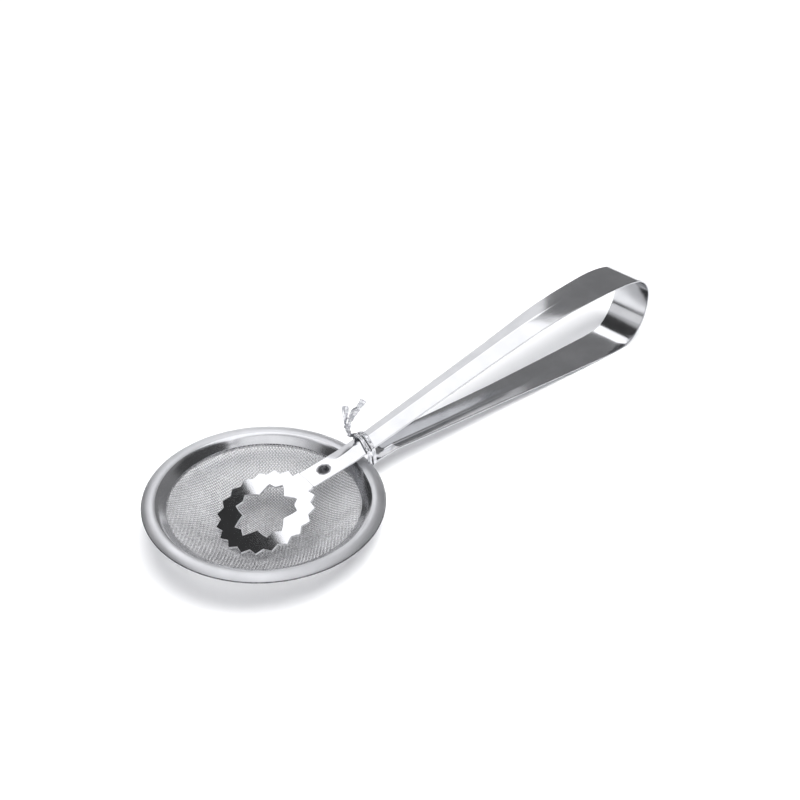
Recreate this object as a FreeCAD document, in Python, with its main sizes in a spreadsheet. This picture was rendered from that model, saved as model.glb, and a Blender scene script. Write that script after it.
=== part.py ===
"""Strainer tongs: a round mesh pan and a toothed jaw on the two ends of one folded spring strip.

The frame: the tongs lie on the plane z = 0, on the bottom of the mesh bowl and of the spring bow.
+X runs from the pan to the bow, +Z is up, and everything but the twist tie is the same on both
sides of y = 0. The origin is the middle of the footprint. Lengths are millimetres, angles degrees.
"""
import FreeCAD, Part
import math
import os

import Sketcher
from FreeCAD import Placement, Rotation, Vector

os.makedirs("parts", exist_ok=True)
doc = FreeCAD.newDocument("StrainerTongs")

# ---------------------------------------------------------------- driving dimensions
SIZES = {
    # the pan: rim, clamp ring and woven bowl, drawn level and then leaned
    "pan_x": -84.6,             # centre of the rim
    "pan_height": 21.5,         # rim edge's centre above the table
    "pan_lean": 7.4,            # the rim drops towards the handle
    "rim_radius": 52.0,
    "crest_radius": 49.3,       # top of the rim's bead
    "crest_half": 1.1,          # half the width of the bead's top
    "crest_height": 1.0,
    "bead_radius": 1.7,
    "edge_radius": 0.8,
    "skirt_depth": 1.4,
    "rim_sheet": 0.6,
    "mesh_radius": 42.0,        # where the rim's inner wall ends
    "wall_drop": 2.5,
    "clamp_width": 3.3,
    "clamp_sheet": 0.6,
    "mesh_sheet": 0.5,
    "bowl_radius": 55.0,
    "bowl_angle": 36.0,         # half the angle that the bowl's round bottom spans
    # the spring strip: two gable-folded arms and a flat bow
    "strip_sheet": 0.8,
    "fold_height": 2.2,
    "bow_half_width": 10.1,
    "bow_back_x": 135.8,
    "bow_top_radius": 13.8,
    "bow_back_radius": 32.6,
    "bow_back_turn": 35.0,
    "bow_foot_radius": 15.5,
    "lower_slope": 5.6,
    "hinge_gap": 0.3,           # between the two halves of the bow
    # the toothed jaw
    "jaw_x": -85.2,
    "jaw_height": 13.9,
    "jaw_slope": 12.4,
    "tooth_tip": 22.7,
    "tooth_root": 20.6,
    "petal_tip": 14.6,
    "petal_notch": 12.9,
    "petal_valley": 10.1,
    "petal_half_angle": 12.7,
    "petal_side_radius": 14.0,
    "neck_x": -61.6,            # where the ring's sheet bends into the neck
    "neck_half_width": 5.6,
    "dimple_x": -54.7,
    "dimple_radius": 2.6,
    "dimple_depth": 1.2,
    # the twist tie
    "tie_x": -31.0,
    "tie_width": 3.0,
    "tie_half_width": 6.5,
    "tie_top": 24.55,
    "tie_shoulder": 22.5,
    "tie_split": 18.0,
    "tie_bottom": 11.6,
    "foil_sheet": 0.25,
    "core_size": 0.5,
    "twist_radius": 1.1,
    "twist_length": 4.5,
    "tail_radius": 0.8,
    "tail_length": 12.5,
    # the spot welds under the pan
    "weld_radius": 1.4,
    "weld_spacing": 5.6,
    "weld_height": 0.25,
}

sheet = doc.addObject("Spreadsheet::Sheet", "Sizes")
for row, (alias, value) in enumerate(SIZES.items(), start=1):
    sheet.set(f"A{row}", alias)
    sheet.set(f"B{row}", str(value))
    sheet.setAlias(f"B{row}", alias)
doc.recompute()


class Size:
    """A number together with the expression that gives it from the sheet."""

    def __init__(self, value, text):
        self.value = value
        self.text = text

    def __add__(self, other):
        other = as_size(other)
        return Size(self.value + other.value, f"({self.text} + {other.text})")

    def __sub__(self, other):
        other = as_size(other)
        return Size(self.value - other.value, f"({self.text} - {other.text})")

    def __mul__(self, other):
        other = as_size(other)
        return Size(self.value * other.value, f"({self.text} * {other.text})")

    def __truediv__(self, other):
        other = as_size(other)
        return Size(self.value / other.value, f"({self.text} / {other.text})")

    def __neg__(self):
        return Size(-self.value, f"(0 - {self.text})")


def as_size(number):
    return number if isinstance(number, Size) else Size(float(number), repr(float(number)))


def size(alias):
    return Size(SIZES[alias], f"Sizes.{alias}")


def sin(angle):
    angle = as_size(angle)
    return Size(math.sin(math.radians(angle.value)), f"sin({angle.text} * 1 deg)")


def cos(angle):
    angle = as_size(angle)
    return Size(math.cos(math.radians(angle.value)), f"cos({angle.text} * 1 deg)")


def tan(angle):
    return sin(angle) / cos(angle)


# ---------------------------------------------------------------- sketches and bodies
def new_body(label):
    body = doc.addObject("PartDesign::Body", label)
    body.Label = label
    return body


def plane_of(body, role):
    return next(item for item in body.Origin.OriginFeatures if item.Role == role)


def new_sketch(body, name, role, offset=None):
    """A sketch on one of the body's own planes, moved by offset = (x, y, z, turn about its x)."""
    sketch = body.newObject("Sketcher::SketchObject", name)
    sketch.AttachmentSupport = [(plane_of(body, role), "")]
    sketch.MapMode = "FlatFace"
    if offset:
        x, y, z, turn = (as_size(part) for part in offset)
        sketch.AttachmentOffset = Placement(Vector(x.value, y.value, z.value),
                                            Rotation(Vector(1, 0, 0), turn.value))
        sketch.setExpression("AttachmentOffset.Base.x", x.text)
        sketch.setExpression("AttachmentOffset.Base.y", y.text)
        sketch.setExpression("AttachmentOffset.Base.z", z.text)
        sketch.setExpression("AttachmentOffset.Rotation.Angle", f"{turn.text} * 1 deg")
    return sketch


def pin(sketch, kind, first, value):
    """Hold one coordinate of a point, measured from the sketch's origin, at a sheet expression."""
    index = sketch.addConstraint(Sketcher.Constraint(kind, -1, 1, first[0], first[1], value.value))
    sketch.setExpression(f"Constraints[{index}]", value.text)


def arc_between(start, end, radius):
    """The short arc from start to end. A positive radius bulges to the left of the way there."""
    chord = end - start
    half = chord.Length / 2
    left = Vector(-chord.y, chord.x, 0).normalize()
    sagitta_side = math.copysign(1.0, radius)
    centre = start + chord / 2 - left * sagitta_side * math.sqrt(radius * radius - half * half)
    middle = centre + left * sagitta_side * abs(radius)
    return Part.Arc(start, middle, end)


def outline(sketch, corners, arcs=None):
    """A closed outline through corners; arcs[i] is the radius of the edge that leaves corner i."""
    arcs = arcs or {}
    corners = [(as_size(x), as_size(y)) for x, y in corners]
    points = [Vector(x.value, y.value, 0) for x, y in corners]
    edges = []
    for i, start in enumerate(points):
        end = points[(i + 1) % len(points)]
        if i not in arcs:
            edge = sketch.addGeometry(Part.LineSegment(start, end), False)
            edges.append((edge, 1, 2))
            continue
        radius = as_size(arcs[i])
        edge = sketch.addGeometry(arc_between(start, end, radius.value), False)
        # an arc of a sketch always runs anticlockwise, so its ends may be the other way round
        first_is_start = (sketch.getPoint(edge, 1) - start).Length < 1e-6
        edges.append((edge, 1, 2) if first_is_start else (edge, 2, 1))
        index = sketch.addConstraint(Sketcher.Constraint("Radius", edge, abs(radius.value)))
        sketch.setExpression(f"Constraints[{index}]", f"abs({radius.text})")
    for i, (edge, start_end, far_end) in enumerate(edges):
        after, after_start = edges[(i + 1) % len(edges)][:2]
        sketch.addConstraint(Sketcher.Constraint("Coincident", edge, far_end, after, after_start))
        pin(sketch, "DistanceX", (edge, start_end), corners[i][0])
        pin(sketch, "DistanceY", (edge, start_end), corners[i][1])


def pad(body, sketch, length, both_ways=True):
    feature = body.newObject("PartDesign::Pad", sketch.Name + "Pad")
    feature.Profile = sketch
    feature.Length = as_size(length).value
    feature.setExpression("Length", as_size(length).text)
    feature.Midplane = both_ways
    return feature


def turned(body, corners, arcs=None):
    """A revolved piece: its outline as (radius, height) about the body's own Z axis."""
    sketch = new_sketch(body, body.Name + "Profile", "XZ_Plane")
    outline(sketch, corners, arcs)
    feature = body.newObject("PartDesign::Revolution", body.Name + "Turned")
    feature.Profile = sketch
    feature.ReferenceAxis = (sketch, ["V_Axis"])
    feature.Angle = 360
    return feature


def lean_with_pan(body):
    """Put a piece that was drawn level about the pan's axis into its leaned place."""
    body.Placement = Placement(Vector(SIZES["pan_x"], 0, SIZES["pan_height"]),
                               Rotation(Vector(0, 1, 0), SIZES["pan_lean"]))
    body.setExpression("Placement.Base.x", "Sizes.pan_x")
    body.setExpression("Placement.Base.z", "Sizes.pan_height")
    body.setExpression("Placement.Rotation.Angle", "Sizes.pan_lean * 1 deg")


def from_pan(radius, height):
    """A point of the pan's own level section, as (x, z) in the frame of the tongs."""
    radius, height = as_size(radius), as_size(height)
    lean = size("pan_lean")
    return (size("pan_x") + radius * cos(lean) + height * sin(lean),
            size("pan_height") - radius * sin(lean) + height * cos(lean))


# ---------------------------------------------------------------- the pan
wall_run = size("crest_radius") - size("crest_half") - size("mesh_radius")
wall_rise = size("crest_height") + size("wall_drop")
wall_slope = wall_rise / wall_run
wall_sheet = size("rim_sheet") * 1.15      # the inner wall's thickness measured straight down


def make_pan_rim():
    """Pressed sheet: inner wall up to a rounded bead, then down to a short turned edge."""
    body = new_body("pan_rim")
    sheet_t = size("rim_sheet")
    crest_in = size("crest_radius") - size("crest_half")
    crest_out = size("crest_radius") + size("crest_half")
    crest, outer, inner = size("crest_height"), size("rim_radius"), size("mesh_radius")
    edge = size("edge_radius")
    corners = [
        (inner, -size("wall_drop")),
        (crest_in, crest),
        (crest_out, crest),
        (outer - edge * 0.5, edge * 0.25),
        (outer, -edge * 0.625),
        (outer, -size("skirt_depth")),
        (outer - sheet_t, -size("skirt_depth")),
        (outer - sheet_t, -edge * 0.625),
        (crest_out - sheet_t * 0.5, crest - wall_sheet),
        (crest_in + sheet_t * 0.5, crest - wall_sheet),
        (inner, -size("wall_drop") - wall_sheet),
    ]
    arcs = {1: size("bead_radius"), 3: size("edge_radius"), 8: -(size("bead_radius") - sheet_t)}
    turned(body, corners, arcs)
    lean_with_pan(body)
    return body


def make_clamp_ring():
    """Flat cone ring that pinches the woven edge against the rim's inner wall."""
    body = new_body("clamp_ring")
    inner, width = size("mesh_radius"), size("clamp_width")
    top = -size("wall_drop") - wall_sheet - size("mesh_sheet")
    corners = [
        (inner, top),
        (inner + width, top + width * wall_slope),
        (inner + width, top + width * wall_slope - size("clamp_sheet")),
        (inner, top - size("clamp_sheet")),
    ]
    turned(body, corners)
    lean_with_pan(body)
    return body


def make_mesh_bowl():
    """Woven bowl as a thin closed shell: clamped flange, conical wall and round bottom."""
    body = new_body("mesh_bowl")
    inner, width, thick = size("mesh_radius"), size("clamp_width"), size("mesh_sheet")
    top = -size("wall_drop") - wall_sheet
    lean, ball, angle = size("pan_lean"), size("bowl_radius"), size("bowl_angle")
    depth = (size("pan_height") - ball * (as_size(1) - cos(lean))) / cos(lean)
    round_r = ball * sin(angle)
    round_z = -depth + ball * (as_size(1) - cos(angle))
    corners = [
        (0, -depth),
        (round_r, round_z),
        (inner, top - thick),
        (inner + width, top - thick + width * wall_slope),
        (inner + width, top + width * wall_slope),
        (inner, top),
        (round_r, round_z + thick),
        (0, -depth + thick),
    ]
    turned(body, corners, {0: -ball, 6: ball})
    lean_with_pan(body)
    return body


# ---------------------------------------------------------------- the spring strip
half_sheet = size("strip_sheet") / 2
foot_down = as_size(90) - size("bow_back_turn")
foot_start_z = half_sheet + size("bow_foot_radius") * (as_size(1) - cos(foot_down))
back_run = size("bow_back_radius") * (as_size(1) - cos(size("bow_back_turn")))
foot_start_x = size("bow_back_x") - back_run
hinge_z = foot_start_z + size("bow_back_radius") * sin(size("bow_back_turn"))
bow_top_z = hinge_z + size("bow_top_radius")
bow_top_x = size("bow_back_x") - size("bow_top_radius")
foot_centre_x = foot_start_x - size("bow_foot_radius") * sin(foot_down)
foot_centre_z = half_sheet + size("bow_foot_radius")
foot_end_x = foot_centre_x + size("bow_foot_radius") * sin(size("lower_slope"))
foot_end_z = foot_centre_z - size("bow_foot_radius") * cos(size("lower_slope"))
# Sections along the arms: distance of the section from the pan's centre, half width, share of
# the fold height. The upper arm's heights are given too; the lower arm is a straight ramp.
UPPER_STATIONS = [
    (23.0, 19.15, 5.6, 0.0),
    (34.0, 20.1, 5.7, 0.0),
    (43.0, 20.9, 6.0, 0.8),
    (58.0, 22.1, 6.0, 1.0),
    (104.0, 29.6, 6.8, 1.0),
    (135.0, 34.7, 7.4, 1.0),
    (152.0, 37.3, 8.0, 0.75),
    (168.0, 38.9, 8.8, 0.4),
    (190.0, 39.5, 10.1, 0.0),
]
LOWER_STATIONS = [
    (190.0, 10.1, 0.0),
    (168.0, 8.8, 0.4),
    (152.0, 8.0, 0.75),
    (135.0, 7.4, 1.0),
    (104.0, 6.8, 1.0),
    (76.0, 6.1, 1.0),
    (66.0, 6.0, 0.5),
    (61.0, 6.0, 0.0),
]


def gable_section(body, name, x, z, slope, half_width, fold):
    """A folded strip's section: flat when fold is 0, a ridge up or down by fold otherwise."""
    sketch = new_sketch(body, name, "YZ_Plane", (0, z, x, -as_size(slope)))
    half_width, fold = as_size(half_width), as_size(fold)
    outline(sketch, [
        (-half_width, half_sheet),
        (-half_width, -half_sheet),
        (0, fold - half_sheet),
        (half_width, -half_sheet),
        (half_width, half_sheet),
        (0, fold + half_sheet),
    ])
    return sketch


def loft(body, name, sections):
    feature = body.newObject("PartDesign::AdditiveLoft", name)
    feature.Profile = sections[0]
    feature.Sections = sections[1:]
    feature.Ruled = True
    return feature


def station_slope(stations, i, heights):
    """Slope of the strip at station i, from the stations on both sides of it."""
    before, after = max(i - 1, 0), min(i + 1, len(stations) - 1)
    run = stations[after][0] - stations[before][0]
    return math.degrees(math.atan((heights[after] - heights[before]) / run))


def make_upper_arm():
    """Neck with a pressed dimple, gable-folded arm, and the flat end that meets the bow."""
    body = new_body("upper_arm")
    heights = [station[1] for station in UPPER_STATIONS]
    sections = []
    for i, (x, z, half_width, fold_share) in enumerate(UPPER_STATIONS):
        last = i == len(UPPER_STATIONS) - 1
        slope = 0 if last else station_slope(UPPER_STATIONS, i, heights)
        height = bow_top_z if last else as_size(z)
        width = size("bow_half_width") if last else as_size(half_width)
        sections.append(gable_section(body, f"UpperSection{i}", size("pan_x") + x, height, slope,
                                      width, size("fold_height") * fold_share))
    loft(body, "UpperArmLoft", sections)
    add_dimple(body)
    return body


def neck_height(x):
    """Height of the flat neck's middle surface at x, between the first two stations."""
    (x0, z0), (x1, z1) = UPPER_STATIONS[0][:2], UPPER_STATIONS[1][:2]
    share = (x - size("pan_x") - x0) / (x1 - x0)
    return as_size(z0) + share * (z1 - z0)


def add_dimple(body):
    """Cut a round hole in the neck and close it again with a shallow pressed dish."""
    centre_z = neck_height(size("dimple_x"))
    hole = new_sketch(body, "DimpleHole", "XY_Plane", (size("dimple_x"), 0, centre_z, 0))
    circle = hole.addGeometry(Part.Circle(Vector(0, 0, 0), Vector(0, 0, 1), SIZES["dimple_radius"]))
    hole.addConstraint(Sketcher.Constraint("Coincident", circle, 3, -1, 1))
    index = hole.addConstraint(Sketcher.Constraint("Radius", circle, SIZES["dimple_radius"]))
    hole.setExpression(f"Constraints[{index}]", "Sizes.dimple_radius")
    pocket = body.newObject("PartDesign::Pocket", "DimplePocket")
    pocket.Profile = hole
    pocket.Type = "ThroughAll"
    pocket.Midplane = True
    dish = new_sketch(body, "DimpleDish", "XZ_Plane", (size("dimple_x"), centre_z, 0, 0))
    reach, depth = size("dimple_radius") + 0.02, size("dimple_depth")
    outline(dish, [
        (0, -depth - half_sheet),
        (reach, -half_sheet),
        (reach, half_sheet),
        (0, -depth + half_sheet),
    ])
    turn = body.newObject("PartDesign::Revolution", "DimpleTurned")
    turn.Profile = dish
    turn.ReferenceAxis = (dish, ["V_Axis"])
    turn.Angle = 360


def make_lower_arm():
    """Gable-folded ramp up to the pan, then a flat tab stepped down under the rim."""
    body = new_body("lower_arm")
    sections = [gable_section(body, "LowerSection0", foot_end_x, foot_end_z, -size("lower_slope"),
                              size("bow_half_width"), 0)]
    for i, (x, half_width, fold_share) in enumerate(LOWER_STATIONS, start=1):
        place = size("pan_x") + x
        rise = foot_end_z + (foot_end_x - place) * tan(size("lower_slope"))
        sections.append(gable_section(body, f"LowerSection{i}", place, rise, -size("lower_slope"),
                                      half_width, -size("fold_height") * fold_share))
    loft(body, "LowerArmLoft", sections)
    add_weld_tab(body)
    return body


def tab_line():
    """Middle line of the tab: the arm's end, the step, the level run and the run on the clamp."""
    end_x = size("pan_x") + LOWER_STATIONS[-1][0]
    end_z = foot_end_z + (foot_end_x - end_x) * tan(size("lower_slope"))
    under_skirt = -size("skirt_depth") - half_sheet - 0.05
    clamp_under = (-size("wall_drop") - wall_sheet - size("mesh_sheet") - size("clamp_sheet")
                   - half_sheet * 1.15 - 0.02)
    bend_r = size("mesh_radius") + (under_skirt - clamp_under) / wall_slope
    tip_r = size("mesh_radius") + 0.6
    return [(end_x, end_z),
            from_pan(size("rim_radius") + 2.4, under_skirt),
            from_pan(bend_r, under_skirt),
            from_pan(tip_r, clamp_under + wall_slope * 0.6)]


def add_weld_tab(body):
    line = tab_line()
    sketch = new_sketch(body, "WeldTab", "XZ_Plane")
    upper = [(x, z + half_sheet) for x, z in line]
    lower = [(x, z - half_sheet) for x, z in reversed(line)]
    outline(sketch, upper + lower)
    pad(body, sketch, as_size(LOWER_STATIONS[-1][1]) * 2)


def on_bow(centre, radius, angle):
    """A point of a bow arc: angle is measured from the way +X round towards the way down."""
    return centre[0] + radius * cos(angle), centre[1] - radius * sin(angle)


def make_bow_upper():
    """Flat strip from the end of the upper arm round the bow's tight top to its back."""
    body = new_body("bow_upper")
    sketch = new_sketch(body, "BowUpperProfile", "XZ_Plane")
    start_x = size("pan_x") + UPPER_STATIONS[-1][0]
    outer, inner = size("bow_top_radius") + half_sheet, size("bow_top_radius") - half_sheet
    # the arcs end a little above the hinge, at the height where the gap starts
    lift = size("hinge_gap") / 2
    corners = [
        (start_x, bow_top_z + half_sheet),
        (bow_top_x, bow_top_z + half_sheet),
        (size("bow_back_x") + half_sheet - lift * lift / outer / 2, hinge_z + lift),
        (size("bow_back_x") - half_sheet - lift * lift / inner / 2, hinge_z + lift),
        (bow_top_x, bow_top_z - half_sheet),
        (start_x, bow_top_z - half_sheet),
    ]
    outline(sketch, corners, {1: outer, 3: -inner})
    pad(body, sketch, size("bow_half_width") * 2)
    return body


def make_bow_lower():
    """Flat strip from the bow's back down its long curve and round the foot to the lower arm."""
    body = new_body("bow_lower")
    sketch = new_sketch(body, "BowLowerProfile", "XZ_Plane")
    back, turn = size("bow_back_radius"), size("bow_back_turn")
    back_centre = (size("bow_back_x") - back, hinge_z)
    foot_centre = (foot_centre_x, foot_centre_z)
    foot = size("bow_foot_radius")
    start = Size(math.degrees(math.asin(SIZES["hinge_gap"] / 2 / SIZES["bow_back_radius"])),
                 "(asin(Sizes.hinge_gap / 2 / Sizes.bow_back_radius) / 1 deg)")

    def ring(offset):
        """The three corners of one face of the strip, offset from its middle surface."""
        foot_end = (foot_centre[0] + (foot + offset) * sin(size("lower_slope")),
                    foot_centre[1] - (foot + offset) * cos(size("lower_slope")))
        return [on_bow(back_centre, back + offset, start),
                on_bow(back_centre, back + offset, turn),
                foot_end]

    outer = ring(half_sheet)
    inner = ring(-half_sheet)
    arcs = {0: back + half_sheet, 1: foot + half_sheet,
            3: -(foot - half_sheet), 4: -(back - half_sheet)}
    outline(sketch, outer + inner[::-1], arcs)
    pad(body, sketch, size("bow_half_width") * 2)
    return body


# ---------------------------------------------------------------- the toothed jaw
TEETH = 20
PETALS = 5


def polar(radius, angle):
    return as_size(radius) * cos(angle), as_size(radius) * sin(angle)


def make_toothed_jaw():
    """Flat toothed ring with a five-petal window, and the stub of its neck."""
    body = new_body("toothed_jaw")
    body.Placement = Placement(Vector(SIZES["jaw_x"], 0, SIZES["jaw_height"]),
                               Rotation(Vector(0, 1, 0), -SIZES["jaw_slope"]))
    body.setExpression("Placement.Base.x", "Sizes.jaw_x")
    body.setExpression("Placement.Base.z", "Sizes.jaw_height")
    body.setExpression("Placement.Rotation.Angle", "-Sizes.jaw_slope * 1 deg")
    pitch = 360 / TEETH
    ring = []
    for tooth in range(1, TEETH - 1):
        ring.append(polar(size("tooth_root"), pitch * tooth))
        ring.append(polar(size("tooth_tip"), pitch * (tooth + 0.5)))
    ring.append(polar(size("tooth_root"), -pitch))
    stub = (size("neck_x") - size("jaw_x")) / cos(size("jaw_slope"))
    neck = [(stub, -size("neck_half_width")), (stub, size("neck_half_width"))]
    blank = new_sketch(body, "JawBlank", "XY_Plane")
    outline(blank, ring + neck)
    pad(body, blank, size("strip_sheet"))
    window = new_sketch(body, "JawWindow", "XY_Plane")
    petal_pitch = 360 / PETALS
    corners, arcs = [], {}
    for petal in range(PETALS):
        middle = petal_pitch * (petal + 0.5)
        first = len(corners)
        corners += [polar(size("petal_valley"), petal_pitch * petal),
                    polar(size("petal_tip"), as_size(middle) - size("petal_half_angle")),
                    polar(size("petal_notch"), middle),
                    polar(size("petal_tip"), as_size(middle) + size("petal_half_angle"))]
        arcs[first] = -size("petal_side_radius")
        arcs[first + 3] = -size("petal_side_radius")
    outline(window, corners, arcs)
    cut = body.newObject("PartDesign::Pocket", "JawWindowCut")
    cut.Profile = window
    cut.Type = "ThroughAll"
    cut.Midplane = True
    return body


# ---------------------------------------------------------------- welds and the twist tie
def bound_cylinder(label, radius, height):
    piece = doc.addObject("Part::Cylinder", label)
    piece.Label = label
    for prop, value in (("Radius", as_size(radius)), ("Height", as_size(height))):
        setattr(piece, prop, value.value)
        piece.setExpression(prop, value.text)
    return piece


def make_spot_welds():
    """Two round weld marks on the underside of the tab."""
    line = [(x.value, z.value) for x, z in tab_line()]
    (x0, z0), (x1, z1) = line[2], line[3]
    along = Vector(x1 - x0, 0, z1 - z0).normalize()
    down = Vector(along.z, 0, -along.x) if along.x > 0 else Vector(-along.z, 0, along.x)
    middle = Vector((x0 + x1) / 2, 0, (z0 + z1) / 2)
    under = middle + down * (SIZES["strip_sheet"] / 2)
    discs = []
    for side in (-1, 1):
        disc = bound_cylinder(f"WeldMark{side + 1}", size("weld_radius"), size("weld_height"))
        disc.Placement = Placement(under + Vector(0, side * SIZES["weld_spacing"] / 2, 0),
                                   Rotation(Vector(0, 0, 1), down))
        discs.append(disc)
    pair = doc.addObject("Part::Compound", "spot_welds")
    pair.Label = "spot_welds"
    pair.Links = discs
    return pair


def band_side(offset, over):
    """One face of the tie's half loop, offset outwards from its inner face."""
    half = size("tie_half_width") + offset
    shoulder, bottom = size("tie_shoulder") + offset * 0.7, size("tie_bottom")
    if over:
        split = size("tie_split") + size("hinge_gap") / 2
        return [(-half, split), (-half, shoulder), (0, size("tie_top") + offset * 1.1),
                (half, shoulder), (half, split)]
    split = size("tie_split") - size("hinge_gap") / 2
    return [(half, split), (half, bottom + 1.6), (half - 1.6, bottom - offset),
            (-half + 1.6, bottom - offset), (-half, bottom + 1.6), (-half, split)]


def make_tie_half(label, over, inside, outside, width):
    """Half a loop of the tie, between two offsets from the arms, padded along the arms."""
    body = new_body(label)
    sketch = new_sketch(body, label + "Profile", "YZ_Plane", (0, 0, size("tie_x"), 0))
    outline(sketch, band_side(outside, over) + band_side(inside, over)[::-1])
    pad(body, sketch, width)
    return body


def make_tie():
    foil, core = size("foil_sheet"), size("core_size")
    pieces = []
    for name, over in (("under", False), ("over", True)):
        pieces.append(make_tie_half("tie_foil_" + name, over, as_size(0), foil, size("tie_width")))
        pieces.append(make_tie_half("tie_core_" + name, over, foil, foil + core, core))
    return pieces


def make_tails():
    """The tie's twisted stem on the far side of the arm, and its two loose ends."""
    foot = Vector(SIZES["tie_x"] - 1.6, SIZES["tie_half_width"] - 1.0, SIZES["tie_shoulder"] + 2.1)
    stem = bound_cylinder("tie_twist", size("twist_radius"), size("twist_length"))
    stem.Placement = Placement(foot, Rotation())
    head = foot + Vector(0, 0, SIZES["twist_length"])
    pieces = [stem]
    leans = {"tie_tail_left": Vector(-0.24, 0.16, 1), "tie_tail_right": Vector(0.36, -0.24, 1)}
    for label, lean in leans.items():
        tail = bound_cylinder(label, size("tail_radius"), size("tail_length"))
        start = head + Vector(math.copysign(SIZES["tail_radius"] * 1.05, lean.x), 0, 0.35)
        tail.Placement = Placement(start, Rotation(Vector(0, 0, 1), lean))
        pieces.append(tail)
    return pieces


# ---------------------------------------------------------------- build, check and write
def main():
    pieces = [make_pan_rim(), make_clamp_ring(), make_mesh_bowl(), make_lower_arm(),
              make_spot_welds(), make_bow_lower(), make_bow_upper(), make_upper_arm(),
              make_toothed_jaw()]
    pieces += make_tie()
    pieces += make_tails()
    doc.recompute()
    for item in doc.Objects:
        if {"Invalid", "Error"} & set(item.State):
            raise RuntimeError(f"{item.Label} failed: {item.State}")
    for piece in pieces:
        if piece.Shape.isNull() or not piece.Shape.isValid():
            raise RuntimeError(f"{piece.Label} has no valid shape")
    for piece in pieces:
        piece.Shape.exportStep(f"parts/{piece.Label}.step")
        box = piece.Shape.BoundBox
        print(f"{piece.Label:16s} {len(piece.Shape.Solids)} solid(s) {piece.Shape.Volume:9.1f} mm3 "
              f"x {box.XMin:7.2f} {box.XMax:7.2f}  y {box.YMin:6.2f} {box.YMax:6.2f}  "
              f"z {box.ZMin:6.2f} {box.ZMax:6.2f}")


main()
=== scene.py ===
"""Looks of the strainer tongs: steel strip, toothed jaw, pan, woven mesh and twist tie."""
import math
import random

import bmesh
import bpy
from mathutils import Matrix, Vector


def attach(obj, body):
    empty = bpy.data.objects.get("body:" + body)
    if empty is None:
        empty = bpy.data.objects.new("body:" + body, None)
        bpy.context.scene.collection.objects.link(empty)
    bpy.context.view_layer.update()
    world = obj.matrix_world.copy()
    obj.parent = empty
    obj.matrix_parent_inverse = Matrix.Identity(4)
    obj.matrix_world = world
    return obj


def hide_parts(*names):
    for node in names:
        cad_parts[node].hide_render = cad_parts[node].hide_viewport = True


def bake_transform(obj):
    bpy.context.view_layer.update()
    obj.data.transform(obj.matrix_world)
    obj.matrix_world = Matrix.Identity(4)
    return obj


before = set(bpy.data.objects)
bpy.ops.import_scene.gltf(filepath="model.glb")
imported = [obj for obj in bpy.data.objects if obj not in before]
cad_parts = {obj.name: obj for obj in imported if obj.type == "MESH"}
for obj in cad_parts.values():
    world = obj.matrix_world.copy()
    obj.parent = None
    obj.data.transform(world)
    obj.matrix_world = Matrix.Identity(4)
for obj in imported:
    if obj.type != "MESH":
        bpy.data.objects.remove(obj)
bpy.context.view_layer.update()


MM = 0.001
rng = random.Random(7)

# ------------------------------------------------------------------ sizes, in millimetres
SHEET = 0.8                       # the spring strip and the jaw
JAW_EDGE = 1.2                    # the jaw's edge, shown deeper than the sheet for its light line
PAN_CENTRE = Vector((-84.6, 0, 21.1))
PAN_LEAN = math.radians(7.49)
RIM_R = 52.4
MESH_R = 42.0                     # where the weave meets the rim's wall
WALL_R = 46.4                     # where the bright wall gives way to the duller bead
ROLL_WIDTH = 0.3                  # of the line of painted shade where the rim's edge is rolled under
MESH_DROP = 2.5                   # of the weave's edge below the rim's level
JAW_CENTRE = Vector((-85.28, 0, 13.6))
JAW_SLOPE = math.radians(12.4)
JAW_REACH = 22.0                  # from the jaw's middle to where it meets the neck
TEETH = 20
TIP_R, ROOT_R = 22.7, 20.5
PETALS = 5
PETAL_TIP, PETAL_NOTCH, PETAL_VALLEY = 14.6, 12.9, 10.1
PETAL_HALF = math.radians(12.7)
PETAL_SWELL = 0.35                # how far a petal's side stands out from a straight line
FOLD = 2.2                        # height of the arms' ridge

pan_matrix = Matrix.Translation(PAN_CENTRE) @ Matrix.Rotation(PAN_LEAN, 4, "Y")
jaw_matrix = Matrix.Translation(JAW_CENTRE) @ Matrix.Rotation(-JAW_SLOPE, 4, "Y")


def smooth(x, low=0.0, high=1.0):
    """0 below low, 1 above high, and a smooth rise between them."""
    x = min(max((x - low) / (high - low), 0.0), 1.0)
    return x * x * (3 - 2 * x)


# ------------------------------------------------------------------ materials
NOISE_LOW, NOISE_HIGH = 0.3, 0.7  # most of a noise texture's values lie between these


def new_material(name, base, roughness, metallic=1.0):
    """A material and its shader, with one even look to start from."""
    material = bpy.data.materials.new(name)
    material.use_nodes = True
    shader = material.node_tree.nodes["Principled BSDF"]
    shader.inputs["Base Color"].default_value = (*base, 1)
    shader.inputs["Metallic"].default_value = metallic
    shader.inputs["Roughness"].default_value = roughness
    return material, shader


def object_coords(tree, stretch=(1, 1, 1)):
    """The piece's own coordinates, stretched by axis."""
    coords = tree.nodes.new("ShaderNodeTexCoord")
    mapping = tree.nodes.new("ShaderNodeMapping")
    mapping.inputs["Scale"].default_value = stretch
    tree.links.new(coords.outputs["Object"], mapping.inputs["Vector"])
    return mapping.outputs["Vector"]


def noise(tree, vector, scale, detail=3.0):
    node = tree.nodes.new("ShaderNodeTexNoise")
    node.inputs["Scale"].default_value = scale
    node.inputs["Detail"].default_value = detail
    tree.links.new(vector, node.inputs["Vector"])
    return node.outputs["Fac"]


def ranged(tree, value, low, high):
    """A noise value brought into the range from low to high."""
    node = tree.nodes.new("ShaderNodeMapRange")
    node.inputs["From Min"].default_value = NOISE_LOW
    node.inputs["From Max"].default_value = NOISE_HIGH
    node.inputs["To Min"].default_value = low
    node.inputs["To Max"].default_value = high
    tree.links.new(value, node.inputs["Value"])
    return node.outputs["Result"]


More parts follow.
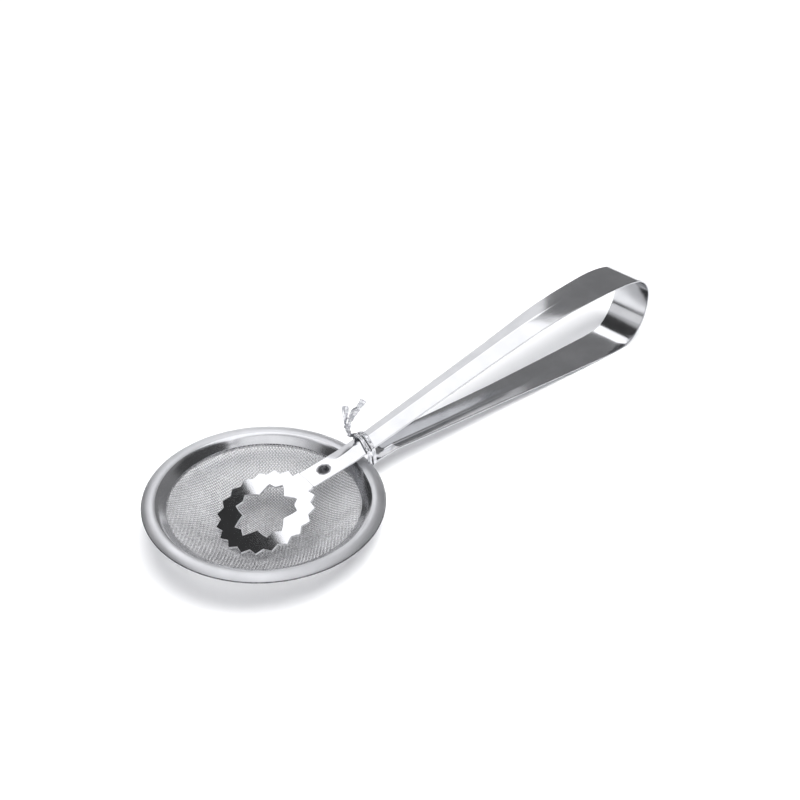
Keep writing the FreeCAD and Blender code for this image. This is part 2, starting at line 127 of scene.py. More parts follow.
def bump(tree, shader, height, distance, strength):
    """Bumps of the surface by height, on top of any that the shader has already."""
    node = tree.nodes.new("ShaderNodeBump")
    node.inputs["Distance"].default_value = distance
    node.inputs["Strength"].default_value = strength
    tree.links.new(height, node.inputs["Height"])
    previous = shader.inputs["Normal"]
    if previous.is_linked:
        tree.links.new(previous.links[0].from_socket, node.inputs["Normal"])
    tree.links.new(node.outputs["Normal"], shader.inputs["Normal"])


def tinted(tree, shader, value, dark, light):
    """Base colour between dark and light, by value."""
    ramp = tree.nodes.new("ShaderNodeValToRGB")
    ramp.color_ramp.elements[0].position = 0.35
    ramp.color_ramp.elements[1].position = 0.65
    ramp.color_ramp.elements[0].color = (*dark, 1)
    ramp.color_ramp.elements[1].color = (*light, 1)
    tree.links.new(value, ramp.inputs["Fac"])
    tree.links.new(ramp.outputs["Color"], shader.inputs["Base Color"])


def polished_steel(name, grain=(0.25, 6, 6), roughness=(0.1, 0.16), waves=0.00003):
    """Buffed stainless sheet: faint grain along the piece, slow waves and patches of wear."""
    material, shader = new_material(name, (0.7, 0.71, 0.73), 0.15)
    tree = material.node_tree
    along = object_coords(tree, grain)
    plain = object_coords(tree)
    tree.links.new(ranged(tree, noise(tree, plain, 60), *roughness), shader.inputs["Roughness"])
    tinted(tree, shader, noise(tree, plain, 90), (0.57, 0.575, 0.59), (0.62, 0.625, 0.64))
    bump(tree, shader, noise(tree, plain, 45, 1.0), waves, 0.6)
    bump(tree, shader, noise(tree, along, 900, 2.0), 0.000004, 0.35)
    return material


def wire_steel():
    """Drawn wire, a little duller than the sheet, with small changes along it."""
    material, shader = new_material("wire_steel", (0.66, 0.66, 0.67), 0.3)
    tree = material.node_tree
    plain = object_coords(tree)
    tree.links.new(ranged(tree, noise(tree, plain, 700), 0.18, 0.3), shader.inputs["Roughness"])
    tinted(tree, shader, noise(tree, plain, 120), (0.68, 0.68, 0.69), (0.82, 0.82, 0.83))
    bump(tree, shader, noise(tree, plain, 4000), 0.00001, 0.3)
    return material


def foil():
    """Crinkled metal foil paper."""
    material, shader = new_material("silver_foil", (0.8, 0.81, 0.83), 0.25)
    tree = material.node_tree
    plain = object_coords(tree)
    tree.links.new(ranged(tree, noise(tree, plain, 900), 0.1, 0.24), shader.inputs["Roughness"])
    tinted(tree, shader, noise(tree, plain, 500), (0.42, 0.43, 0.45), (0.72, 0.72, 0.74))
    cells = tree.nodes.new("ShaderNodeTexVoronoi")
    cells.inputs["Scale"].default_value = 900
    tree.links.new(plain, cells.inputs["Vector"])
    bump(tree, shader, cells.outputs["Distance"], 0.00022, 0.8)
    return material


def weld_steel(name, dark, light):
    """Steel of one small place: the weld marks' own colour, the dimple's painted shade, the
    painted highlight on the jaw's cut edges and the painted shade on the rolled edge.
    """
    material, shader = new_material(name, light, 0.45)
    tree = material.node_tree
    plain = object_coords(tree)
    tinted(tree, shader, noise(tree, plain, 900), dark, light)
    tree.links.new(ranged(tree, noise(tree, plain, 500), 0.35, 0.55), shader.inputs["Roughness"])
    bump(tree, shader, noise(tree, plain, 1500), 0.00005, 0.6)
    return material


# Painted shade for the neck's dimple: its dark core.
DIMPLE_DEEP_SHADE = weld_steel("dimple_deep_painted_shade", (0.05, 0.05, 0.055), (0.13, 0.13, 0.135))
STRIP_STEEL = polished_steel("strip_steel")
PAN_STEEL = polished_steel("pan_steel", (4, 4, 4), (0.15, 0.22), 0.00004)
BEAD_STEEL = polished_steel("bead_steel", (4, 4, 4), (0.4, 0.5), 0.00004)
JAW_STEEL = polished_steel("jaw_steel", (2, 2, 2), (0.03, 0.06), 0.00001)
# Painted shade for the neck's dimple: the lighter ring round the core.
DIMPLE_SOFT_SHADE = weld_steel("dimple_soft_painted_shade", (0.2, 0.2, 0.21), (0.36, 0.36, 0.37))
# Painted shade for the outer line of the rim's rolled-under edge.
ROLL_PAINTED_SHADE = weld_steel("rolled_edge_painted_shade", (0.1, 0.1, 0.105), (0.22, 0.22, 0.23))
# Painted highlight for the jaw's cut side faces.
SIDE_PAINTED_HIGHLIGHT = weld_steel("jaw_side_painted_highlight", (0.8, 0.8, 0.81), (0.95, 0.95, 0.96))
WIRE_STEEL = wire_steel()
FOIL = foil()
WELD_STEEL = weld_steel("weld_steel", (0.3, 0.29, 0.28), (0.5, 0.5, 0.52))


# ------------------------------------------------------------------ meshes
def make_piece(name, points, faces, material, place=None, normals=None):
    """A mesh piece from points in millimetres; normals are given where pieces meet smoothly."""
    place = place or Matrix.Identity(4)
    data = bpy.data.meshes.new(name)
    data.from_pydata([tuple(place @ Vector(p) * MM) for p in points], [], faces)
    data.validate()
    data.materials.append(material)
    data.shade_smooth()
    if normals:
        data.normals_split_custom_set_from_vertices([tuple(n) for n in normals])
    piece = bpy.data.objects.new(name, data)
    bpy.context.collection.objects.link(piece)
    return piece


def grid_faces(rows, columns, closed=False):
    """Faces between rings of points, one ring a row; closed also joins the last to the first."""
    faces = []
    for i in range(rows if closed else rows - 1):
        for j in range(columns):
            a, b = i * columns + j, i * columns + (j + 1) % columns
            c, d = (i + 1) % rows * columns + (j + 1) % columns, (i + 1) % rows * columns + j
            faces.append((a, b, c, d))
    return faces


def lathe(profile, steps):
    """Points and faces of a closed profile of (radius, height), turned about Z."""
    points = []
    for i in range(steps):
        turn = 2 * math.pi * i / steps
        points += [(r * math.cos(turn), r * math.sin(turn), z) for r, z in profile]
    return points, [tuple(reversed(face)) for face in grid_faces(steps, len(profile), True)]


def rounded(corners, reach, steps, closed=False):
    """The corners of a path, each cut back by up to reach and replaced by a smooth curve."""
    path = []
    count = len(corners)
    for i, corner in enumerate(corners):
        here = Vector(corner)
        if not closed and i in (0, count - 1):
            path.append(here)
            continue
        before, after = Vector(corners[i - 1]), Vector(corners[(i + 1) % count])
        start = here + (before - here).normalized() * min(reach, (before - here).length * 0.45)
        end = here + (after - here).normalized() * min(reach, (after - here).length * 0.45)
        for k in range(steps + 1):
            u = k / steps
            path.append(start * (1 - u) ** 2 + here * 2 * u * (1 - u) + end * u * u)
    return path


def between(a, b, c, d, u):
    """The place at share u of the way from b to c, on a smooth curve through a, b, c and d."""
    return 0.5 * (2 * b + (c - a) * u + (2 * a - 5 * b + 4 * c - d) * u * u
                  + (3 * b - 3 * c + d - a) * u ** 3)


def finish_edges(piece, width):
    """Round the weighted edges of a finished piece a little."""
    edges = piece.modifiers.new("edges", "BEVEL")
    edges.width = width * MM
    edges.segments = 3
    edges.limit_method = "WEIGHT"
    bpy.context.view_layer.update()
    graph = bpy.context.evaluated_depsgraph_get()
    baked = bpy.data.meshes.new_from_object(piece.evaluated_get(graph))
    piece.modifiers.clear()
    piece.data = baked


# ------------------------------------------------------------------ the pan
def curve_through(knots, steps):
    """Points of a smooth curve through all the knots."""
    knots = [Vector(k) for k in knots]
    line = []
    for i in range(len(knots) - 1):
        a, b = knots[max(i - 1, 0)], knots[i]
        c, d = knots[i + 1], knots[min(i + 2, len(knots) - 1)]
        line += [between(a, b, c, d, k / steps) for k in range(steps)]
    return line + [knots[-1]]


# The rim's upper side from the weave outwards, as (radius, height) from the rim's level.
RIM_TOP = [(MESH_R, -MESH_DROP), (43.2, -1.56), (44.4, -0.6), (45.5, 0.22), (46.8, 0.88),
           (48.4, 1.08), (50.2, 0.75), (51.8, 0.1), (RIM_R, -0.35)]
RIM_SHEET = 0.4
RIM_STEPS, CLAMP_STEPS = 256, 200
EDGE_SLOPE = 3.5 / 6.2            # of the weave's edge where it is clamped
RIM_DEPTH, WEAVE_DEPTH = 0.7, 0.5         # what lies above the clamp ring
CLAMP_WIDTH, CLAMP_DEPTH = 3.3, 0.6


def make_pan_rim():
    """Pressed ring: sloping bright wall, broad duller bead, and an edge rolled under, its outer
    line painted dark as shade.
    """
    top = curve_through(RIM_TOP, 5)
    under = []
    for i in reversed(range(len(top))):
        along = (top[min(i + 1, len(top) - 1)] - top[max(i - 1, 0)]).normalized()
        under.append(top[i] + Vector((along.y, -along.x)) * RIM_SHEET)
    edge = rounded([top[-1], (RIM_R - 0.02, -0.7), (RIM_R - 0.5, -0.8), under[0]], 0.2, 3)
    profile = [tuple(p) for p in top + edge[1:-1] + under]
    points, faces = lathe(profile, RIM_STEPS)
    piece = make_piece("rim", points, faces, PAN_STEEL, pan_matrix)
    piece.data.materials.append(BEAD_STEEL)
    piece.data.materials.append(ROLL_PAINTED_SHADE)
    level = pan_matrix.inverted()
    for face in piece.data.polygons:
        radius = (level @ (face.center / MM)).xy.length
        if radius > WALL_R:
            # The outermost band gets painted shade for the rolled edge's dark line.
            face.material_index = 1 if radius < RIM_R - ROLL_WIDTH else 2
    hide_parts("pan_rim")
    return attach(piece, "lower")


def make_clamp_ring():
    """Flat ring under the rim, on the slope of the weave's edge that it holds."""
    top = -MESH_DROP - RIM_DEPTH - WEAVE_DEPTH
    rise = EDGE_SLOPE * CLAMP_WIDTH
    far = MESH_R + CLAMP_WIDTH
    profile = rounded([(MESH_R, top), (far, top + rise), (far, top + rise - CLAMP_DEPTH),
                       (MESH_R, top - CLAMP_DEPTH)], 0.2, 3, closed=True)
    points, faces = lathe(profile, CLAMP_STEPS)
    piece = make_piece("clamp", points, faces, PAN_STEEL, pan_matrix)
    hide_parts("clamp_ring")
    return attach(piece, "lower")


PITCH = 1.0                       # of the weave
WIRE_R, WIRE_SIDES = 0.2, 5
WEAVE_HEM = 2.2                   # how far the wires run on under the rim
WEAVE_TURN = math.radians(8)
EDGE_DROP = 0.8                   # of the wires' middle under the rim's inner edge
BOWL_R = 55.0                     # of the round bottom, which ends where it slopes by BOWL_TURN
BOWL_TURN = math.radians(36)
# The bowl is as deep as it has to be to stand on the floor with the pan leaning.
BOWL_DEPTH = (PAN_CENTRE.z - 0.2 - BOWL_R * (1 - math.cos(PAN_LEAN))) / math.cos(PAN_LEAN)
BOWL_LIFT = 0.3                   # of the wires' middle above that point


def bowl_height(radius):
    """Height of the weave's middle below the rim: round bottom, cone, and clamped edge."""
    round_r = BOWL_R * math.sin(BOWL_TURN)
    edge_z = -MESH_DROP - EDGE_DROP
    if radius <= round_r:
        return -BOWL_DEPTH + BOWL_LIFT + BOWL_R - math.sqrt(BOWL_R ** 2 - radius ** 2)
    round_z = -BOWL_DEPTH + BOWL_LIFT + BOWL_R * (1 - math.cos(BOWL_TURN))
    if radius <= MESH_R:
        return round_z + (edge_z - round_z) * (radius - round_r) / (MESH_R - round_r)
    return edge_z + (radius - MESH_R) * EDGE_SLOPE


def tube(path, radius, sides, points, faces):
    """Add a round tube along path to points and faces."""
    first = len(points)
    for i, here in enumerate(path):
        along = (path[min(i + 1, len(path) - 1)] - path[max(i - 1, 0)]).normalized()
        side = along.cross(Vector((0, 0, 1)))
        side = side.normalized() if side.length > 1e-3 else Vector((1, 0, 0))
        up = side.cross(along)
        for k in range(sides):
            turn = 2 * math.pi * k / sides
            points.append(here + (side * math.cos(turn) + up * math.sin(turn)) * radius)
    for i in range(len(path) - 1):
        for k in range(sides):
            a, b = first + i * sides + k, first + i * sides + (k + 1) % sides
            faces.append((a, b, b + sides, a + sides))
    faces.append(tuple(first + k for k in reversed(range(sides))))
    faces.append(tuple(first + (len(path) - 1) * sides + k for k in range(sides)))


def make_weave(name, across):
    """All the wires of one direction, each going over and under the wires of the other one."""
    points, faces = [], []
    reach = MESH_R + WEAVE_HEM
    count = int(reach / PITCH)
    cosine, sine = math.cos(WEAVE_TURN), math.sin(WEAVE_TURN)
    for line in range(-count, count + 1):
        offset = line * PITCH
        steps = int(math.sqrt(reach ** 2 - offset ** 2) / (PITCH / 2))
        path = []
        for i in range(-steps, steps + 1):
            run = i * PITCH / 2
            wave = WIRE_R * math.cos(math.pi * (run / PITCH + line)) * (-1 if across else 1)
            x, y = (run, offset) if across else (offset, run)
            height = bowl_height(math.hypot(x, y)) + wave
            path.append(Vector((x * cosine - y * sine, x * sine + y * cosine, height)))
        if len(path) > 2:
            tube(path, WIRE_R, WIRE_SIDES, points, faces)
    piece = make_piece(name, points, faces, WIRE_STEEL, pan_matrix)
    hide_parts("mesh_bowl")
    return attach(piece, "lower")


# ------------------------------------------------------------------ the spring strip
BACK = Vector((135.9, 0, 22.9))   # the strip's middle line at the back of the bow
# The strip's middle line as runs of (length, turn in degrees), away from the back of the bow.
OVER_RUNS = [(5.5, 18.8), (12.3, 59), (9.2, 9.3), (11.3, 6.7), (13.6, 0.4), (27.5, 8.8),
             (105.5, -0.3), (4.7, -6.2), (20.3, -0.4)]
UNDER_RUNS = [(13.4, 25.3), (7.2, 14.5), (9, 42.2), (8.5, 8.9), (132.5, 2.5)]
TAB = [(52.6, -2.0), (46.2, -1.95), (42.6, -3.9)]      # the welded end, in the pan's own section
TAB_JOIN = 7                      # points of the lower arm that the bend into the welded end takes
BOW_X = 112.0                     # the bow piece reaches this far back along both arms
NECK_X = -43.0                    # and the pressed neck this far along the upper arm
DIMPLE_X, DIMPLE_R, DIMPLE_DEPTH = -53.8, 3.2, 0.9
DIMPLE_DEEP_SHARE, DIMPLE_SOFT_SHARE = 0.8, 1.05      # shares of DIMPLE_R up to which the dimple is painted in deep shade, then in lighter shade
LINE_STEP = 0.5                   # between the points of the middle line
NECK_HALF, MIDDLE_HALF, BOW_HALF = 5.95, 7.25, 10.1    # half of the strip's width
TAPER_X, MIDDLE_X, TAPER_RUN = -24.6, 45.4, 70         # where it begins to widen, and how slowly
BOW_SKEW, SKEW_REACH = 0.13, (50, 115)
BOW_FADE, NECK_FADE, TAB_FADE = (48, 112), (-54, -34), (-29, -20)     # where the ridge dies out
SIDE_POINTS = 48                  # steps across each face of the strip
EDGE_OUT = 0.3                    # how far the strip's round edges stand out
ROUND_EDGE = ((50, 0.2), (0, EDGE_OUT), (-50, 0.2))    # as (turn in degrees, out)
RIDGE_SOFT = 0.5                  # the arms' ridge is rounded over about this width


def walk(heading, runs, bend, step):
    """The middle line's points along the runs."""
    here = Vector(BACK)
    line = [here.copy()]
    for length, turn in runs:
        steps = max(1, round(length / step))
        for _ in range(steps):
            heading += math.radians(turn) * bend / steps / 2
            here = here + Vector((math.cos(heading), 0, math.sin(heading))) * (length / steps)
            heading += math.radians(turn) * bend / steps / 2
            line.append(here.copy())
    return line


def spaced(line, step):
    """The same line with its points a fixed step apart."""
    out = [line[0]]
    left = step
    for a, b in zip(line, line[1:]):
        length = (b - a).length
        while length >= left:
            a = a + (b - a).normalized() * left
            out.append(a.copy())
            length = (b - a).length
            left = step
        left -= length
    return out


def strip_line():
    """Middle line of the whole strip, from the welded end round the bow to the jaw."""
    over = walk(math.radians(86.5), OVER_RUNS, 1, LINE_STEP)
    under = walk(math.radians(-93.5), UNDER_RUNS, -1, LINE_STEP)
    tab = [pan_matrix @ Vector((r, 0, z)) for r, z in TAB]
    tab = rounded([under[-TAB_JOIN - 1], *tab], 2.0, 8)
    under = under[:-TAB_JOIN] + tab[1:]
    return spaced(list(reversed(under)) + over[1:], LINE_STEP)


LINE = strip_line()


def half_width(x):
    """Half of the strip's width, even on the neck and then in two tapers up to the bow."""
    if x < MIDDLE_X:
        return NECK_HALF + (MIDDLE_HALF - NECK_HALF) * max(0, x - TAPER_X) / TAPER_RUN
    return min(BOW_HALF, MIDDLE_HALF + (BOW_HALF - MIDDLE_HALF) * (x - MIDDLE_X) / TAPER_RUN)


def skewed(point):
    """The bow is bent a little out of square, so its near edge stands further back."""
    return point + Vector((-BOW_SKEW * point.y * smooth(point.x, *SKEW_REACH), 0, 0))


def fold_share(x, over):
    """How much of the ridge there is: none on the bow, the neck and the welded end."""
    fade = 1 - smooth(x, *BOW_FADE)
    return fade * (smooth(x, *NECK_FADE) if over else smooth(x, *TAB_FADE))


def section(here, heading, over):
    """The strip's closed section at one place, from the far edge over the outer face and back."""
    outer = Vector((math.sin(heading), 0, -math.cos(heading)))
    half = half_width(here.x) - EDGE_OUT
    ridge = FOLD * fold_share(here.x, over)
    soft = RIDGE_SOFT

    def lift(y):
        reach = math.sqrt(half * half + soft * soft) - soft
        return ridge * (1 - (math.sqrt(y * y + soft * soft) - soft) / reach)

    ring = []
    for face in (1, -1):
        for k in range(SIDE_POINTS + 1):
            y = half * (1 - 2 * k / SIDE_POINTS) * face
            press = 0.0
            if over and abs(here.x - DIMPLE_X) < DIMPLE_R + 0.5:
                r = math.hypot((here.x - DIMPLE_X) / math.cos(heading), y) / DIMPLE_R
                press = DIMPLE_DEPTH * (1 - smooth(r, -0.3, 1))
            ring.append(here + Vector((0, y, 0)) + outer * (lift(y) - press + face * SHEET / 2))
        for turn, out in ROUND_EDGE:
            y = -(half + out) * face
            height = math.sin(math.radians(turn)) * SHEET / 2 * 0.9 * face
            ring.append(here + Vector((0, y, 0)) + outer * (lift(half) + height))
    return [skewed(p) for p in ring]


def strip_grid():
    """The strip's rows, as (place, on the upper side, section), and the row at the bow's back."""
    rows = []
    back = min(range(len(LINE)), key=lambda i: (LINE[i] - BACK).length)
    for i, here in enumerate(LINE):
        before, after = LINE[max(i - 1, 0)], LINE[min(i + 1, len(LINE) - 1)]
        heading = math.atan2(after.z - before.z, after.x - before.x)
        rows.append((here, i >= back, section(here, heading, i >= back)))
    return rows, back


def strip_normal(rows, i, j):
    """Smooth normal of one point, from the points next to it along and round the strip."""
    ring = rows[i][2]
    count = len(ring)
    along = rows[min(i + 1, len(rows) - 1)][2][j] - rows[max(i - 1, 0)][2][j]
    around = ring[(j + 1) % count] - ring[(j - 1) % count]
    return around.cross(along).normalized()


def paint_dimple_shade(piece):
    """The pressed spot in the neck gets painted shade: a dark core and a lighter ring round it."""
    piece.data.materials.append(DIMPLE_DEEP_SHADE)
    piece.data.materials.append(DIMPLE_SOFT_SHADE)
    for face in piece.data.polygons:
        middle = face.center / MM
        share = math.hypot(middle.x - DIMPLE_X, middle.y) / DIMPLE_R
        # Faces in the dimple get painted shade, deep in the core and lighter towards its rim.
        if share < DIMPLE_SOFT_SHARE:
            face.material_index = 1 if share < DIMPLE_DEEP_SHARE else 2


def make_strip_piece(name, rows, first, last, every=1):
    """The strip from one row to another; pieces that meet share a row and its normals."""
    chosen = list(range(first, last, every)) + [last]
    points = [p for i in chosen for p in rows[i][2]]
    count = len(rows[0][2])
    normals = [strip_normal(rows, i, j) for i in chosen for j in range(count)]
    faces = grid_faces(len(chosen), count)
    return make_piece(name, points, faces, STRIP_STEEL, None, normals)


def make_strip():
    """Lower arm, bow, upper arm and neck: one sheet, cut only where the spring bends."""
    rows, back = strip_grid()
    low = max(i for i in range(back) if rows[i][0].x < BOW_X)
    high = min(i for i in range(back, len(rows)) if rows[i][0].x < BOW_X)
    neck = min(i for i in range(back, len(rows)) if rows[i][0].x < NECK_X)
    arm_low = make_strip_piece("arm_under", rows, 0, low, 2)
    bow = make_strip_piece("bow", rows, low, high)
    arm_high = make_strip_piece("arm_over", rows, high, neck, 2)
    pressed = make_strip_piece("neck", rows, neck, len(rows) - 1)
    paint_dimple_shade(pressed)
    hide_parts("lower_arm")
    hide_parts("bow_lower", "bow_upper")
    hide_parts("upper_arm")
    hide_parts("upper_arm")
    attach(arm_low, "lower")
    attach(arm_high, "upper")
    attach(pressed, "upper")
    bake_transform(bow)


# ------------------------------------------------------------------ the toothed jaw
def polar(radius, angle):
    return Vector((radius * math.cos(angle), radius * math.sin(angle), 0))


def petal_edge(side):
    """One half of the window's edge, from the +X side round to the -X side."""
    edge = []
    for petal in range(PETALS):
        middle = 2 * math.pi * (petal + 0.5) / PETALS
        valley_a = polar(PETAL_VALLEY, 2 * math.pi * petal / PETALS)
        valley_b = polar(PETAL_VALLEY, 2 * math.pi * (petal + 1) / PETALS)
        tip_a = polar(PETAL_TIP, middle - PETAL_HALF)
        tip_b = polar(PETAL_TIP, middle + PETAL_HALF)
        notch = polar(PETAL_NOTCH, middle)
        for a, b, swell in ((valley_a, tip_a, PETAL_SWELL), (tip_a, notch, 0),
                            (notch, tip_b, 0), (tip_b, valley_b, PETAL_SWELL)):
            out = ((a + b) / 2).normalized()
            steps = 5 if swell else 1
            for k in range(steps):
                u = k / steps
                edge.append(a.lerp(b, u) + out * swell * 4 * u * (1 - u))
    half = edge[:len(edge) // 2 + 1]
    return half if side > 0 else [Vector((p.x, -p.y, 0)) for p in half]


def make_jaw():
    """Stamped ring of pointed teeth round a five-petal window, with rounded edges whose sides
    carry a painted highlight.
    """
    pitch = 2 * math.pi / TEETH
    neck_end = JAW_REACH / math.cos(JAW_SLOPE)
    outer = [Vector((neck_end, NECK_HALF, 0)), polar(ROOT_R, pitch)]
    for tooth in range(1, TEETH // 2):
        outer.append(polar(TIP_R, pitch * (tooth + 0.5)))
        outer.append(polar(ROOT_R, pitch * (tooth + 1)))
    faces_2d = []
    for side in (1, -1):
        rim = [Vector((p.x, p.y * side, 0)) for p in outer]
        inner = petal_edge(side)
        faces_2d.append([Vector((neck_end, 0, 0)), *rim, *reversed(inner)][::side])
    shape = bmesh.new()
    for corners in faces_2d:
        shape.faces.new([shape.verts.new(p) for p in corners])
    bmesh.ops.remove_doubles(shape, verts=shape.verts, dist=0.01)
    bmesh.ops.translate(shape, verts=shape.verts, vec=(0, 0, SHEET / 2 - JAW_EDGE))
    grown = bmesh.ops.extrude_face_region(shape, geom=shape.faces[:])
    moved = [item for item in grown["geom"] if isinstance(item, bmesh.types.BMVert)]
    bmesh.ops.translate(shape, verts=moved, vec=(0, 0, JAW_EDGE))
    bmesh.ops.recalc_face_normals(shape, faces=shape.faces)
    weight = shape.edges.layers.float.new("bevel_weight_edge")
    for edge in shape.edges:
        at_neck = all(v.co.x > neck_end - 0.01 for v in edge.verts)
        sharp = len(edge.link_faces) == 2 and edge.calc_face_angle() > 0.5
        edge[weight] = 1.0 if sharp and not at_neck else 0.0
    for face in shape.faces:
        # Side faces get the painted highlight; the flat faces get the plain jaw steel.
        face.material_index = 1 if abs(face.normal.z) < 0.5 else 0
    shape.transform(Matrix.Scale(MM, 4) @ jaw_matrix)
    data = bpy.data.meshes.new("jaw")
    shape.to_mesh(data)
    shape.free()
    data.materials.append(JAW_STEEL)
    data.materials.append(SIDE_PAINTED_HIGHLIGHT)
    piece = bpy.data.objects.new("jaw", data)
    bpy.context.collection.objects.link(piece)
    finish_edges(piece, 0.22)
    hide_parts("toothed_jaw")
    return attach(piece, "upper")


# ------------------------------------------------------------------ welds and the twist tie
WELD_PROFILE = [(0.01, 0.0), (1.4, 0.0), (1.35, 0.08), (1.0, 0.16), (0.6, 0.12), (0.01, 0.1)]
WELD_SPREAD = 2.8                 # of each weld from the strip's middle


def make_welds():
    """Two slightly domed weld marks under the strip's end."""
    a, b = (pan_matrix @ Vector((r, 0, z)) for r, z in TAB[1:])
    down = Vector((b.z - a.z, 0, a.x - b.x)).normalized()
    down = down if down.z < 0 else -down
    turn = Vector((0, 0, 1)).rotation_difference(down).to_matrix().to_4x4()
    points, faces = lathe(WELD_PROFILE, 40)
    for side, name in ((-1, "weld_left"), (1, "weld_right")):
        middle = (a + b) / 2 + Vector((0, side * WELD_SPREAD, 0)) + down * (SHEET / 2 - 0.02)
        piece = make_piece(name, points, faces, WELD_STEEL,
                           Matrix.Translation(middle) @ turn)
        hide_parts("spot_welds")
        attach(piece, "lower")


def spline(knots, steps):
    """Smooth line through knots, given as (point, facing) pairs."""
    line = []
    for i in range(len(knots) - 1):
        k0, k1 = knots[max(i - 1, 0)], knots[i]
        k2, k3 = knots[i + 1], knots[min(i + 2, len(knots) - 1)]
        for s in range(steps):
            place, facing = (between(*four, s / steps) for four in zip(k0, k1, k2, k3))
            line.append((place, facing.normalized()))
    line.append((knots[-1][0], knots[-1][1].normalized()))
    return line


KNOT = Vector((-34.2, 6.6, 22.8))
STEM = Vector((-0.2, 0.1, 1.0)).normalized()
STEM_LENGTH = 3.6
TIE_STEPS = 9                     # between two knots of the tie's line
TAIL_STEPS = 26                   # points at each end of the line that belong to a loose tail
TAIL_HALF, WRAP_HALF = 1.55, 1.0  # half of the ribbon's width, flat and drawn tight
TIE_COLUMNS = 8                   # steps across each face of the ribbon


def stem_knots(phase, up):
    """One of the two ends twisted together, as (point, facing) up or down the stem."""
    knots = []
    for k in range(7):
        u = k / 6
        turn = phase + 2.2 * math.pi * u
        out = Vector((math.cos(turn), math.sin(turn), 0))
        knots.append((KNOT + STEM * STEM_LENGTH * u + out * 0.62, out))
    return knots if up else knots[::-1]


def loop_knots(x, slant):
    """One turn of the tie round both arms: over the ridge, down the near side and back up."""
    corners = [((5.9, 22.3), (0.6, 1)), ((0.3, 24.1), (0, 1)), ((-5.4, 22.1), (-0.5, 1)),
               ((-6.6, 20.6), (-1, 0.1)), ((-6.7, 14.2), (-1, -0.1)), ((-5.6, 11.9), (-0.6, -1)),
               ((0, 11.6), (0, -1)), ((5.6, 12.0), (0.6, -1)), ((6.7, 14.4), (1, -0.1)),
               ((6.7, 20.2), (1, 0.1))]
    knots = []
    for (y, z), (ny, nz) in corners:
        along = x + slant * (y / 12) + rng.uniform(-0.12, 0.12)
        knots.append((Vector((along, y, z)), Vector((rng.uniform(-0.15, 0.15), ny, nz))))
    return knots


def make_tie():
    """One foil ribbon with a wire in it: a loose end, two turns round the arms, a loose end."""
    top = KNOT + STEM * STEM_LENGTH
    left = [(top + Vector((1.2, 1.2, 12.6)), Vector((-0.35, -1, 0.1))),
            (top + Vector((0.5, 0.9, 8.6)), Vector((-0.2, -1, 0.2))),
            (top + Vector((-0.1, 0.6, 4.8)), Vector((0.4, -1, 0.1)))]
    right = [(top + Vector((1.4, -0.4, 4.2)), Vector((-0.6, -0.8, 0.2))),
             (top + Vector((4.0, -1.0, 8.6)), Vector((-0.9, -0.6, 0.2))),
             (top + Vector((5.8, -1.9, 10.6)), Vector((-0.5, -0.9, 0.3))),
             (top + Vector((8.8, -2.6, 14.0)), Vector((-0.7, -0.7, 0.2)))]
    knots = (left + stem_knots(0.3, False) + loop_knots(-32.6, 1.6) + loop_knots(-30.2, 1.2)
             + stem_knots(0.3 + math.pi, True) + right)
    line = spline(knots, TIE_STEPS)
    points = []
    for i, (here, facing) in enumerate(line):
        along = (line[min(i + 1, len(line) - 1)][0] - line[max(i - 1, 0)][0]).normalized()
        across = along.cross(facing).normalized()
        normal = across.cross(along)
        tail = min(i, len(line) - 1 - i) < TAIL_STEPS
        half = (TAIL_HALF if tail else WRAP_HALF) * (0.92 + 0.12 * math.sin(i * 0.37))
        curl = 0.15 + 0.1 * math.sin(i * 0.9)
        for face in (1, -1):
            for k in range(TIE_COLUMNS + 1):
                u = (1 - 2 * k / TIE_COLUMNS) * face
                core = 0.24 * math.exp(-(u / 0.22) ** 2)
                height = face * (0.05 + core) + curl * u * u + rng.uniform(-0.02, 0.02)
                points.append(here + across * half * u + normal * height)
    ring = 2 * (TIE_COLUMNS + 1)
    faces = [tuple(reversed(face)) for face in grid_faces(len(line), ring)]
    faces.append(tuple(range(ring)))
    faces.append(tuple((len(line) - 1) * ring + k for k in reversed(range(ring))))
    piece = make_piece("twist_tie", points, faces, FOIL)
    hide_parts("tie_foil_under", "tie_core_under", "tie_foil_over", "tie_core_over",
                "tie_twist", "tie_tail_left", "tie_tail_right")
    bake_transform(piece)


# ------------------------------------------------------------------ floor, lights and camera
# What the steel mirrors: name, azimuth, elevation, width and height in degrees, light, and the
# distance in metres where it isn't 2.
CARDS = [
    ("card_white", 69.4, 49, 33, 26, 1.9),
    ("card_over", 35, 78, 62, 34, 1.65),
    ("card_black", 120.5, 41, 58, 42, 0.05),
    ("card_wall", -31, 38, 56, 50, 0.05),
    ("card_dark_low", 104, 15, 40, 32, 0.04),
    ("card_grey", 18, 30, 74, 56, 0.25),
    ("card_low", 68, 19, 24, 34, 1.1),
    ("card_sky", -130, 64, 44, 24, 1.25),
    ("card_gap", 142, 4.5, 50, 3.5, 0.05),
    ("card_side", 142, 14.2, 50, 16, 1.0),
    ("card_bow", 90, 48, 8.7, 26, 1.9, 0.8),
    ("card_front", -105, 18, 110, 34, 1.5),
]
TENT_LIGHT = 0.62
WORLD_LIGHT = 0.62
CAMERA_AIM = Vector((-84.6, 0, 21.0))     # near the pan's middle; the camera is placed from it
CAMERA_RIGHT, CAMERA_UP, CAMERA_BACK = 58.36, 42.32, 559.45


